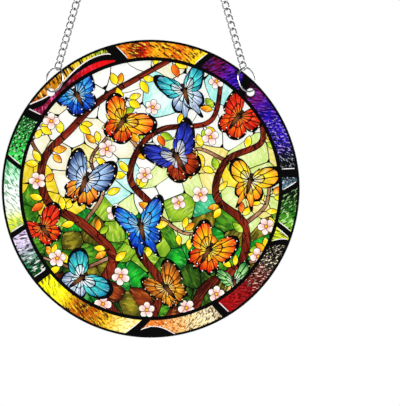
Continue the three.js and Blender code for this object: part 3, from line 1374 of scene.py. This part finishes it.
class Expr:
    """A socket that can be used in sums: each operator adds a Math node to its tree."""

    def __init__(self, graph: Graph, socket: bpy.types.NodeSocket) -> None:
        """Wrap a socket of a graph."""
        self.graph, self.socket = graph, socket

    def math(self, operation: str, *values: Expr | float) -> Expr:
        """Add a Math node on these values."""
        inputs = dict(enumerate(values))
        return self.graph.node("ShaderNodeMath", {"operation": operation}, inputs)["Value"]

    def __add__(self, other: Expr | float) -> Expr:
        """Sum."""
        return self.math("ADD", self, other)

    __radd__ = __add__

    def __mul__(self, other: Expr | float) -> Expr:
        """Product."""
        return self.math("MULTIPLY", self, other)

    __rmul__ = __mul__

    def __rsub__(self, other: float) -> Expr:
        """Difference from a number."""
        return self.math("SUBTRACT", other, self)

    def clamped(self) -> Expr:
        """The value kept from 0 to 1."""
        return self.math("MINIMUM", self.math("MAXIMUM", self, 0.0), 1.0)

    def step(self, low: float, high: float) -> Expr:
        """0 below `low`, 1 above `high`, smooth between."""
        inputs = {"Value": self, "From Min": low, "From Max": high}
        return self.graph.node("ShaderNodeMapRange", {"interpolation_type": "SMOOTHSTEP"}, inputs)["Result"]


class Node:
    """A node whose outputs are read by name as expressions."""

    def __init__(self, graph: Graph, node: bpy.types.Node) -> None:
        """Wrap a node of a graph."""
        self.graph, self.node = graph, node

    def __getitem__(self, name: str) -> Expr:
        """The output with this identifier or name."""
        by_id = {s.identifier: s for s in self.node.outputs}
        return Expr(self.graph, by_id.get(name) or self.node.outputs[name])


class Graph:
    """A material and its nodes."""

    def __init__(self, name: str) -> None:
        """Start an empty material.

        Args:
            name: its name.
        """
        self.material = bpy.data.materials.new(name)
        self.material.use_nodes = True
        self.tree = self.material.node_tree
        self.tree.nodes.clear()

    def node(
        self,
        kind: str,
        settings: Mapping[str, object] | None = None,
        inputs: Mapping[str | int, object] | None = None,
    ) -> Node:
        """Add one node.

        Args:
            kind: the node's type.
            settings: its properties, set before its sockets.
            inputs: values or links of its sockets, by number, identifier or name.

        Returns:
            The node.
        """
        node = self.tree.nodes.new(kind)
        for key, value in (settings or {}).items():
            setattr(node, key, value)
        by_id = {s.identifier: s for s in node.inputs}
        for key, value in (inputs or {}).items():
            socket = node.inputs[key] if isinstance(key, int) else by_id.get(key) or node.inputs[key]
            if isinstance(value, Expr):
                self.tree.links.new(value.socket, socket)
            elif isinstance(value, tuple) and socket.type == "RGBA" and len(value) == 3:
                socket.default_value = (*value, 1.0)
            else:
                socket.default_value = value
        return Node(self, node)

    def mix(self, share: Expr | float, first: object, second: object) -> Expr:
        """Blend two colours."""
        inputs = {"Factor_Float": share, "A_Color": first, "B_Color": second}
        return self.node("ShaderNodeMix", {"data_type": "RGBA"}, inputs)["Result_Color"]

    def attribute(self, name: str) -> Node:
        """A mesh attribute by name."""
        return self.node("ShaderNodeAttribute", {"attribute_name": name, "attribute_type": "GEOMETRY"})

    def uv(self, name: str) -> Expr:
        """A UV map by name."""
        return self.node("ShaderNodeUVMap", {"uv_map": name})["UV"]

    def place(self) -> Expr:
        """The place on the object, in metres."""
        return self.node("ShaderNodeTexCoord")["Object"]

    def vector(self, operation: str, *values: Expr | tuple[float, ...]) -> Node:
        """Add a Vector Math node on these values."""
        return self.node("ShaderNodeVectorMath", {"operation": operation}, dict(enumerate(values)))

    def noise(self, vector: Expr, scale: float, detail: float = 2.0, roughness: float = 0.5) -> Expr:
        """Noise from about 0.2 to 0.8."""
        inputs = {"Vector": vector, "Scale": scale, "Detail": detail, "Roughness": roughness}
        return self.node("ShaderNodeTexNoise", {"noise_dimensions": "3D"}, inputs)["Fac"]

    def bump(self, height: Expr, strength: float, depth: float) -> Expr:
        """A normal bent by a height."""
        inputs = {"Strength": strength, "Distance": depth, "Height": height}
        return self.node("ShaderNodeBump", None, inputs)["Normal"]

    def finish(self, inputs: Mapping[str | int, object]) -> bpy.types.Material:
        """End the graph in one Principled shader.

        Args:
            inputs: values or links of the shader's sockets.

        Returns:
            The material.
        """
        shader = self.node("ShaderNodeBsdfPrincipled", None, inputs)["BSDF"]
        self.node("ShaderNodeOutputMaterial", None, {"Surface": shader})
        return self.material


@dataclass(frozen=True)
class PrintedFinish:
    """Ink on acrylic: tints from the mesh, streaks like rolled glass, and a glossy face.

    A streak starts where its noise is over the first number of its edge, and is full at the second.
    The streaks' scales are per length of a streak, and the relief's and the clouds' per metre.
    """

    roughness: float = 0.1
    roughness_play: float = 0.1
    cloud_scale: float = 60.0
    specular: float = 0.35
    relief: float = 0.02
    relief_depth: float = 0.0002
    relief_scale: float = 900.0
    fleck_scale: float = 0.8
    fleck_edge: Spot = (0.55, 0.61)
    shade_scale: float = 0.75
    shade_edge: Spot = (0.49, 0.56)
    shade_shift: tuple[float, float, float] = (31.7, 12.9, 5.0)
    streak_detail: float = 3.0
    streak_roughness: float = 0.6

    def material(self) -> bpy.types.Material:
        """Build the material.

        Returns:
            The material of the panel's two faces.
        """
        g = Graph("printed_acrylic")
        first, second, fleck, shade = (
            g.attribute(name) for name in ("first_tint", "second_tint", "fleck_tint", "shade_tint")
        )
        reach = g.vector("LENGTH", g.uv("shading"))["Value"]
        grain, spot = g.uv("streaks"), g.place()
        light = g.noise(grain, self.fleck_scale, self.streak_detail, self.streak_roughness)
        moved = g.vector("ADD", grain, self.shade_shift)["Vector"]
        dark = g.noise(moved, self.shade_scale, self.streak_detail, self.streak_roughness)
        colour = g.mix(reach.step(0.0, 1.0), first["Color"], second["Color"])
        shades = (dark.step(*self.shade_edge) * shade["Alpha"]).clamped()
        colour = g.mix(shades, colour, shade["Color"])
        flecks = (light.step(*self.fleck_edge) * fleck["Alpha"]).clamped()
        colour = g.mix(flecks, colour, fleck["Color"])
        ink_grain = g.noise(spot, self.relief_scale)
        return g.finish({
            "Base Color": colour,
            "Roughness": self.roughness + self.roughness_play * g.noise(spot, self.cloud_scale),
            "Alpha": 1.0 - first["Alpha"],
            "IOR": ACRYLIC_INDEX,
            "Specular IOR Level": self.specular,
            "Normal": g.bump(ink_grain, self.relief, self.relief_depth),
        })


@dataclass(frozen=True)
class ClearFinish:
    """Bare clear acrylic, at the panel's edge and in its holes, with a faint saw texture.

    The saw texture only changes the gloss. Its scale is per metre.
    """

    colour: Tint = (0.58, 0.67, 0.67)
    roughness: float = 0.08
    saw_play: float = 0.12
    saw_scale: float = 1500.0
    saw_detail: float = 1.0
    alpha: float = 0.75

    def material(self) -> bpy.types.Material:
        """Build the material.

        Returns:
            The material of the panel's walls.
        """
        g = Graph("clear_acrylic_edge")
        saw = g.noise(g.place(), self.saw_scale, self.saw_detail)
        return g.finish({
            "Base Color": self.colour,
            "Roughness": self.roughness + self.saw_play * saw,
            "IOR": ACRYLIC_INDEX,
            "Alpha": self.alpha,
        })


@dataclass(frozen=True)
class PlatedFinish:
    """Bright plating on steel wire, a little dulled in clouds and finely scratched.

    The dull tint starts where the clouds' noise is over the first number of its edge, and comes to
    `dull_amount` at the second. Scales are per metre, and the scratches' depth is in metres.
    """

    name: str
    colour: Tint = (0.46, 0.47, 0.49)
    dull: Tint = (0.20, 0.205, 0.215)
    dull_edge: Spot = (0.42, 0.7)
    dull_amount: float = 0.5
    roughness: float = 0.10
    roughness_play: float = 0.16
    cloud_scale: float = 420.0
    cloud_detail: float = 3.0
    scratch_scale: float = 2600.0
    scratches: float = 0.08
    scratch_depth: float = 0.00005

    def material(self) -> bpy.types.Material:
        """Build the material.

        Returns:
            The material of a ring or of the chain.
        """
        g = Graph(self.name)
        spot = g.place()
        cloud = g.noise(spot, self.cloud_scale, self.cloud_detail)
        scratch = g.noise(spot, self.scratch_scale)
        dulled = cloud.step(*self.dull_edge) * self.dull_amount
        return g.finish({
            "Base Color": g.mix(dulled, self.colour, self.dull),
            "Metallic": 1.0,
            "Roughness": self.roughness + self.roughness_play * cloud,
            "Normal": g.bump(scratch, self.scratches, self.scratch_depth),
        })


@dataclass
class Panel:
    """The printed acrylic disc: two printed faces, a clear edge with a small chamfer, two holes.

    `blank` fills the tints of the walls, which their finish doesn't read. A pane's streaks are moved
    by `streak_step` times what is left of its number after division by each of `streak_turns`, so
    that neighbours don't match.
    """

    diameter: float = 150.0
    thickness: float = 2.0
    hole_diameter: float = 3.8
    hole_edge_distance: float = 5.2
    hole_angle: float = 46.0
    hole_sides: int = 40
    chamfer: float = 0.15
    sharp_angle: float = 30.0
    tolerance: float = 1e-4
    blank: float = 0.9
    streak_turns: tuple[int, int] = (17, 23)
    streak_step: float = 3.7

    def __post_init__(self) -> None:
        """Take the panel's height from its node."""
        low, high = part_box("acrylic_panel")
        self.height = (low[2] + high[2]) / 2 / MM

    def hole(self, side: Side) -> np.ndarray:
        """A hole's middle on the panel's face, from the panel's middle."""
        circle = self.diameter / 2 - self.hole_edge_distance
        return arc(circle, self.hole_angle, self.hole_angle, steps=1)[0] * np.array([side.value, 1])

    def flat_print(self) -> tuple[np.ndarray, np.ndarray, np.ndarray, list[Pane]]:
        """Cut the print into triangles that never cross an outline.

        Returns:
            Points, triangles, the pane of each triangle, and the panes.
        """
        panes = PanelPrint(self.diameter / 2 - self.chamfer).draw().panes
        across = self.hole_diameter + 2 * self.chamfer
        hole = oval(across, across, self.hole_sides)
        outlines = [pane.outline for pane in panes]
        outlines += [turned(hole, 0, tuple(self.hole(side))) for side in Side]
        counts = np.array([len(o) for o in outlines])
        first = np.concatenate([[0], np.cumsum(counts)[:-1]]).repeat(counts)
        after = np.arange(len(first)) + 1
        after = np.where(after == first + counts.repeat(counts), first, after)
        corners = [Vector(p) for p in np.vstack(outlines).tolist()]
        edges = np.column_stack([np.arange(len(first)), after]).tolist()
        found = delaunay_2d_cdt(corners, edges, [], 0, self.tolerance, True)
        flat, triangles = np.array([tuple(v) for v in found[0]]), np.array(found[2])
        middles = flat[triangles].mean(1)
        top = topmost(middles, outlines)
        kept = (topmost(middles, outlines[:1]) == 0) & (top < len(panes))
        log.info("print: %d outlines, %d triangles", len(panes), kept.sum())
        return flat, triangles[kept], top[kept], panes

    def outward(self, spots: np.ndarray) -> np.ndarray:
        """The way out of the acrylic at each point of the face's border.

        Args:
            spots: (n, 2) points at the rim and around the holes.

        Returns:
            (n, 2) unit vectors: outwards at the rim, and towards a hole's middle around it.
        """
        out = spots / np.linalg.norm(spots, axis=1, keepdims=True)
        for side in Side:
            from_hole = spots - self.hole(side)
            distance = np.linalg.norm(from_hole, axis=1, keepdims=True)
            out = np.where(distance < self.hole_diameter, -from_hole / distance, out)
        return out

    def level(self, points: np.ndarray, y: float) -> np.ndarray:
        """Stand flat points up in the XZ plane at a depth y."""
        return np.column_stack([points[:, 0], np.full(len(points), y), points[:, 1] + self.height])

    def build(self, faces: bpy.types.Material, edge: bpy.types.Material) -> bpy.types.Object:
        """Make the panel: the print in front, the same print behind, and the walls between.

        The walls run from each face's border out over the chamfer and straight between.

        Args:
            faces: the printed material.
            edge: the clear material.

        Returns:
            The panel.
        """
        flat, triangles, top, panes = self.flat_print()
        used, small = np.unique(triangles, return_inverse=True)
        flat, triangles = flat[used], small.reshape(-1, 3)
        a, b, c = (flat[triangles[:, i]] for i in range(3))
        turn = (b[:, 0] - a[:, 0]) * (c[:, 1] - a[:, 1]) - (b[:, 1] - a[:, 1]) * (c[:, 0] - a[:, 0])
        triangles[turn < 0] = triangles[turn < 0][:, ::-1]
        count, half = len(flat), self.thickness / 2

        sides = np.vstack([triangles[:, [0, 1]], triangles[:, [1, 2]], triangles[:, [2, 0]]])
        keys = np.sort(sides, 1) @ np.array([count, 1])
        _, first, times = np.unique(keys, return_index=True, return_counts=True)
        border = sides[first[times == 1]]
        rim = np.unique(border)
        wall = flat[rim] + self.outward(flat[rim]) * self.chamfer
        points = np.vstack([
            self.level(flat, -half), self.level(flat, half),
            self.level(wall, -half + self.chamfer), self.level(wall, half - self.chamfer),
        ])
        number = np.zeros(count, int)
        number[rim] = np.arange(len(rim))
        front, back = number[border] + 2 * count, number[border] + 2 * count + len(rim)
        rows = [(border, front), (front, back), (back, border + count)]
        quads = np.vstack([np.stack([u[:, 1], u[:, 0], v[:, 0], v[:, 1]], 1) for u, v in rows])
        walls = np.vstack([quads[:, [0, 1, 2]], quads[:, [0, 2, 3]]])
        every = np.vstack([triangles, triangles[:, ::-1] + count, walls])
        mesh = fill_mesh("printed_panel", points, every.tolist())
        self.paint(mesh, flat, triangles, top, panes)
        slots = np.concatenate([np.zeros(2 * len(triangles), int), np.ones(len(walls), int)])
        mesh.polygons.foreach_set("material_index", slots.astype(np.int32))
        mesh.polygons.foreach_set("use_smooth", slots.astype(bool))
        mesh.set_sharp_from_angle(angle=math.radians(self.sharp_angle))
        return add_piece("printed_panel", mesh, [faces, edge])

    def paint(
        self,
        mesh: bpy.types.Mesh,
        flat: np.ndarray,
        triangles: np.ndarray,
        top: np.ndarray,
        panes: list[Pane],
    ) -> None:
        """Give each face its pane's tints, and each corner its places in the shading and streaks.

        Args:
            mesh: the panel's mesh, whose faces are front, back and walls in turn.
            flat: the print's points.
            triangles: the print's triangles.
            top: the pane of each triangle.
            panes: the panes.
        """
        glass = [pane.glass for pane in panes]
        walls = len(mesh.polygons) - 2 * len(triangles)
        tables = {
            "first_tint": [(*g.first, g.clear) for g in glass],
            "second_tint": [(*g.second, 1.0) for g in glass],
            "fleck_tint": [(*g.fleck, g.fleck_amount) for g in glass],
            "shade_tint": [(*g.shade, g.shade_amount) for g in glass],
        }
        for name, rows in tables.items():
            values = np.array(rows)[top]
            whole = np.vstack([values, values, np.full((walls, 4), self.blank)])
            layer = mesh.attributes.new(name, "FLOAT_COLOR", "FACE")
            layer.data.foreach_set("color", whole.astype(np.float32).ravel())
        corners = flat[triangles]
        origin = np.array([pane.origin for pane in panes])[top]
        across = np.array([pane.across for pane in panes])[top]
        shading = np.einsum("nij,nkj->nki", across, corners - origin[:, None, :])
        streaks = self.streaks(corners, top, panes)
        for name, values in {"shading": shading, "streaks": streaks}.items():
            front, back = values.reshape(-1, 2), values[:, ::-1].reshape(-1, 2)
            whole = np.vstack([front, back, np.zeros((walls * 3, 2))])
            layer = mesh.uv_layers.new(name=name)
            layer.uv.foreach_set("vector", whole.astype(np.float32).ravel())

    def streaks(self, corners: np.ndarray, top: np.ndarray, panes: list[Pane]) -> np.ndarray:
        """Each corner's place in its pane's streaks.

        It is the corner, turned by the streaks' angle and divided by their length and breadth. In
        a patch of the border the corner is first unrolled: its bearing times the panel's radius,
        and its distance from the middle.

        Args:
            corners: (n, 3, 2) corners of the triangles.
            top: the pane of each triangle.
            panes: the panes.

        Returns:
            (n, 3, 2) array.
        """
        angle = np.radians([pane.streak_angle for pane in panes])[top]
        size = np.array([pane.glass.streak for pane in panes])[top]
        c, s = np.cos(angle), np.sin(angle)
        turn = np.stack([np.stack([c, s], -1), np.stack([-s, c], -1)], 1) / size[:, :, None]
        patch = np.array([pane.patch for pane in panes])[top]
        seed = np.where(patch < 0, top, patch)
        shift = np.column_stack([seed % n for n in self.streak_turns]) * self.streak_step
        from_first = np.arctan2(corners[..., 0], corners[..., 1]) - math.radians(FIRST_BAR)
        wound = self.diameter / 2 * np.mod(from_first, 2 * np.pi)
        unrolled = np.stack([wound, np.linalg.norm(corners, axis=-1)], -1)
        spots = np.where(patch[:, None, None] < 0, corners, unrolled)
        return np.einsum("nij,nkj->nki", turn, spots) + shift[:, None, :]


def spun(points: np.ndarray, angle: np.ndarray | float) -> np.ndarray:
    """Turn points about Z.

    Args:
        points: (..., 3) array.
        angle: radians, one for all or one each.

    Returns:
        The new array.
    """
    x, y, z = (points[..., i] for i in range(3))
    c, s = np.cos(angle), np.sin(angle)
    return np.stack([x * c - y * s, x * s + y * c, z], -1)


@dataclass(frozen=True)
class Link:
    """A chain link: a round loop of wire drawn apart into an oval."""

    length: float = 5.0
    width: float = 3.9
    wire: float = 0.8

    @property
    def half(self) -> float:
        """Half the length of its middle line."""
        return (self.length - self.wire) / 2

    def grid(self, twist: float, steps: int = 20, sides: int = 6) -> np.ndarray:
        """The link's surface, along Z about the origin.

        The middle line is (b cos t, 0, b sin t), with its halves drawn apart along Z by straight
        sides. A point at height z is then turned about Z by -twist/2 times z over the half-length.

        Args:
            twist: radians from one end to the other.
            steps: rings round the loop.
            sides: points in a ring.

        Returns:
            (steps, sides, 3) array.
        """
        half_width = (self.width - self.wire) / 2
        t = ((np.arange(steps) + 0.5) * 2 * np.pi / steps)[:, None]
        v = (np.arange(sides) * 2 * np.pi / sides)[None, :]
        reach = half_width + self.wire / 2 * np.cos(v)
        z = reach * np.sin(t) + np.sign(np.sin(t)) * (self.half - half_width)
        flat = np.stack([reach * np.cos(t), self.wire / 2 * np.sin(v) + 0 * t, z], -1)
        return spun(flat, -twist / 2 * z / self.half)


@dataclass
class Strand:
    """What hangs between a hole and the middle link: a jump ring and a run of chain.

    Everything lies on one line from the hole's middle to a corner of the middle link. A link is
    shown a little longer than its solid, so that it just touches the next.
    """

    side: Side
    panel: Panel
    ring_wire: float = 0.9
    ring_slit: float = 0.14
    solid_link: Link = Link()
    shown_link: Link = Link(length=5.1)
    pitch: float = 3.5
    twist: float = 90.0
    links: int = 48
    turning_links: int = 12
    turn: float = 60.0
    gap: float = 0.15
    sharp_angle: float = 60.0

    def __post_init__(self) -> None:
        """Find the line, and read the ring's place and radius from its node."""
        low, high = node_box("middle_link")
        across = (self.solid_link.length - self.solid_link.width) / 2 * self.side.value
        corner = np.array([across, (low[2] + high[2]) / 2])
        hole = self.panel.hole(self.side) + np.array([0.0, self.panel.height])
        line = corner - hole
        self.up = line / np.linalg.norm(line)
        self.lean = math.atan2(-self.side.value * self.up[0], self.up[1])
        low, high = node_box(f"{self.side.word}_jump_ring")
        self.tilt = (math.pi - math.radians(self.twist)) / 2
        self.ring_radius = ((high[1] - low[1]) / 2 - self.ring_wire / 2) / math.sin(self.tilt)
        along = float(self.up @ (np.array([low[0] + high[0], low[2] + high[2]]) / 2 - hole))
        self.ring_middle = hole + self.up * along
        log.info("%s ring: radius %.2f, %.2f above the hole", self.side.word, self.ring_radius, along)

    def stand(self, points: np.ndarray, foot: np.ndarray) -> np.ndarray:
        """Turn points whose Z runs up the strand, and put their origin at its foot.

        The points are those of the left strand. The right one is its mirror image.

        Args:
            points: (..., 3) array.
            foot: x and z of the foot.

        Returns:
            (n, 3) array.
        """
        c, s = math.cos(self.lean), math.sin(self.lean)
        x = (points[..., 0] * c + points[..., 2] * s) * -self.side.value
        z = points[..., 2] * c - points[..., 0] * s
        return np.stack([x + foot[0], points[..., 1], z + foot[1]], -1).reshape(-1, 3)

    def facing(self, faces: np.ndarray) -> np.ndarray:
        """Reverse faces on the mirrored strand."""
        return faces if self.side is Side.LEFT else faces[:, ::-1]

    def ring(self, material: bpy.types.Material, steps: int = 97, sides: int = 14) -> bpy.types.Object:
        """Make the jump ring: a tube round a circle, open at the outer side by a fine slit.

        A point is at ((R + r cos v) cos u, r sin v, (R + r cos v) sin u), turned by the tilt.

        Args:
            material: the plating.
            steps: rings of points along the wire.
            sides: points in a ring.

        Returns:
            The jump ring.
        """
        slit = self.ring_slit / 2 / self.ring_radius
        u = np.linspace(math.pi + slit, 3 * math.pi - slit, steps)[:, None]
        v = (np.arange(sides) * 2 * np.pi / sides)[None, :]
        reach = self.ring_radius + self.ring_wire / 2 * np.cos(v)
        tube = np.stack([reach * np.cos(u), self.ring_wire / 2 * np.sin(v) + 0 * u, reach * np.sin(u)], -1)
        placed = self.stand(spun(tube, -self.tilt), self.ring_middle)
        caps = np.array([np.arange(sides)[::-1], np.arange(sides) + (steps - 1) * sides])
        faces = self.facing(tube_faces(steps, sides, closed=False)).tolist() + self.facing(caps).tolist()
        mesh = fill_mesh(f"{self.side.word}_ring", placed, faces)
        mesh.shade_smooth()
        mesh.set_sharp_from_angle(angle=math.radians(self.sharp_angle))
        return add_piece(f"{self.side.word}_ring", mesh, [material])

    def run(self, material: bpy.types.Material) -> bpy.types.Object:
        """Make the run of links, which hang in one another and turn edge on near the top.

        Args:
            material: the plating.

        Returns:
            The run.
        """
        shape = self.shown_link.grid(math.radians(self.twist))
        k = np.arange(self.links)[:, None, None]
        share = np.maximum(0, k + 1 - (self.links - self.turning_links)) / self.turning_links
        points = spun(shape[None] + 0.0 * k[..., None], -math.radians(self.turn) * share)
        points[..., 2] += self.solid_link.half + k * self.pitch
        hold = (self.ring_wire + self.solid_link.wire) / 2 + self.gap
        placed = self.stand(points, self.ring_middle + self.up * (self.ring_radius - hold))
        one = tube_faces(*shape.shape[:2], closed=True)
        faces = (one[None] + k * shape[..., 0].size).reshape(-1, 4)
        mesh = fill_mesh(f"{self.side.word}_links", placed, self.facing(faces).tolist())
        mesh.shade_smooth()
        return add_piece(f"{self.side.word}_links", mesh, [material])


@dataclass
class TopLink:
    """The link in the middle, which both runs hang from and which goes over the hook."""

    link: Link = Link()
    steps: int = 32
    sides: int = 12

    def build(self, material: bpy.types.Material) -> bpy.types.Object:
        """Make the link, lying along X at the height of its node.

        Args:
            material: the plating.

        Returns:
            The link.
        """
        low, high = node_box("middle_link")
        shape = self.link.grid(0.0, self.steps, self.sides)
        points = np.stack([shape[..., 2], shape[..., 1], -shape[..., 0] + (low[2] + high[2]) / 2], -1)
        faces = tube_faces(self.steps, self.sides, closed=True)
        mesh = fill_mesh("top_link", points.reshape(-1, 3), faces.tolist())
        mesh.shade_smooth()
        return add_piece("top_link", mesh, [material])


@dataclass(frozen=True)
class Lamp:
    """A soft square light, its place and size in metres and its power in watts."""

    name: str
    at: tuple[float, float, float]
    size: float
    watts: float


@dataclass
class Studio:
    """A white studio: pale floor below, soft lights round about, and a long lens.

    Its sizes are metres, apart from the camera's sensor. `field` is how wide the camera sees at
    the panel, and `surround` is the world's strength as a light.
    """

    distance: float = 2.0
    field: float = 0.2012
    aim: tuple[float, float] = (0.0248, -0.2310)
    sensor: float = 36.0
    sight: tuple[float, float] = (0.05, 20.0)
    floor_height: float = -0.42
    floor_radius: float = 0.55
    floor_colour: Tint = (0.82, 0.82, 0.81)
    floor_roughness: float = 0.7
    surround: float = 0.11
    lamps: tuple[Lamp, ...] = (
        Lamp("key", (-1.1, -1.2, 0.55), 0.9, 26.0),
        Lamp("fill", (1.2, -1.1, 0.25), 0.9, 20.0),
        Lamp("back", (-0.5, 1.5, 0.7), 1.0, 16.0),
        Lamp("back_fill", (1.0, 1.2, 0.1), 1.0, 14.0),
    )

    def world(self) -> None:
        """White to the eye, dimmer as a light, so that metal and black ink keep their contrast."""
        world = bpy.data.worlds.new("studio")
        world.use_nodes = True
        tree = world.node_tree
        tree.nodes.clear()
        path = tree.nodes.new("ShaderNodeLightPath")
        seen, light = (tree.nodes.new("ShaderNodeBackground") for _ in range(2))
        seen.inputs["Color"].default_value = (1, 1, 1, 1)
        light.inputs["Color"].default_value = (self.surround,) * 3 + (1,)
        both, out = tree.nodes.new("ShaderNodeMixShader"), tree.nodes.new("ShaderNodeOutputWorld")
        tree.links.new(path.outputs["Is Camera Ray"], both.inputs[0])
        tree.links.new(light.outputs[0], both.inputs[1])
        tree.links.new(seen.outputs[0], both.inputs[2])
        tree.links.new(both.outputs[0], out.inputs["Surface"])
        bpy.context.scene.world = world

    def light(self, lamp: Lamp) -> None:
        """Hang one light that faces the suncatcher.

        Args:
            lamp: the light.
        """
        data = bpy.data.lights.new(lamp.name, "AREA")
        data.size, data.energy = lamp.size, lamp.watts
        piece = bpy.data.objects.new(lamp.name, data)
        piece.location = lamp.at
        way = Vector((0, 0, self.aim[1])) - Vector(lamp.at)
        piece.rotation_euler = way.to_track_quat("-Z", "Y").to_euler()
        piece.visible_camera = False
        bpy.context.scene.collection.objects.link(piece)

    def floor(self) -> None:
        """Lay a round pale floor under the suncatcher."""
        rim = oval(2 * self.floor_radius, 2 * self.floor_radius, sides=128)
        points = np.column_stack([rim, np.full(len(rim), self.floor_height)]) / MM
        finish = {"Base Color": self.floor_colour, "Roughness": self.floor_roughness}
        mesh = fill_mesh("studio_floor", points, [list(range(len(rim)))])
        add_piece("studio_floor", mesh, [Graph("studio_floor").finish(finish)])

    def camera(self) -> None:
        """Set the camera square on to the panel, where the photograph was taken from."""
        data = bpy.data.cameras.new("camera")
        data.sensor_fit, data.sensor_width = "HORIZONTAL", self.sensor
        data.lens = self.sensor * self.distance / self.field
        data.clip_start, data.clip_end = self.sight
        camera = bpy.data.objects.new("camera", data)
        camera.location = (self.aim[0], -self.distance, self.aim[1])
        camera.rotation_euler = (math.pi / 2, 0, 0)
        bpy.context.scene.collection.objects.link(camera)
        bpy.context.scene.camera = camera

    def build(self) -> None:
        """Set up world, lights, floor and camera."""
        self.world()
        for lamp in self.lamps:
            self.light(lamp)
        self.floor()
        self.camera()
        bpy.context.scene.view_settings.view_transform = "Standard"


class Suncatcher:
    """The whole object: the panel, two strands and the link that it hangs by."""

    def __init__(self) -> None:
        """Read the sizes that pieces share."""
        self.panel = Panel()
        self.strands = [Strand(side, self.panel) for side in Side]

    def build(self) -> None:
        """Make every piece, and tie it to the solid that it stands for."""
        printed, clear = PrintedFinish().material(), ClearFinish().material()
        bright = PlatedFinish("plated_ring", colour=(0.60, 0.61, 0.63), dull=(0.30, 0.305, 0.315))
        ring, chain = bright.material(), PlatedFinish("plated_chain").material()
        self.tie(self.panel.build(printed, clear), "acrylic_panel")
        for strand in self.strands:
            self.tie(strand.ring(ring), f"{strand.side.word}_jump_ring")
            self.tie(strand.run(chain), f"{strand.side.word}_chain_run")
        self.tie(TopLink().build(chain), "middle_link")

    def tie(self, piece: bpy.types.Object, node: str) -> None:
        """Let a piece ride on the frame in a node's stead, and report it.

        Args:
            piece: the piece.
            node: the node whose solid it replaces.
        """
        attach(piece, "root")
        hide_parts(node)
        low, high = node_box(node)
        box = np.array([v.co for v in piece.data.vertices]) / MM
        log.info("%s: %d faces, from %s to %s; node from %s to %s", piece.name, len(piece.data.polygons),
                 box.min(0).round(2), box.max(0).round(2), low.round(2), high.round(2))


def main() -> None:
    """Build the suncatcher and the studio."""
    logging.basicConfig(level=logging.INFO, format="%(name)s: %(message)s")
    Suncatcher().build()
    Studio().build()


if __name__ == "__main__":
    main()
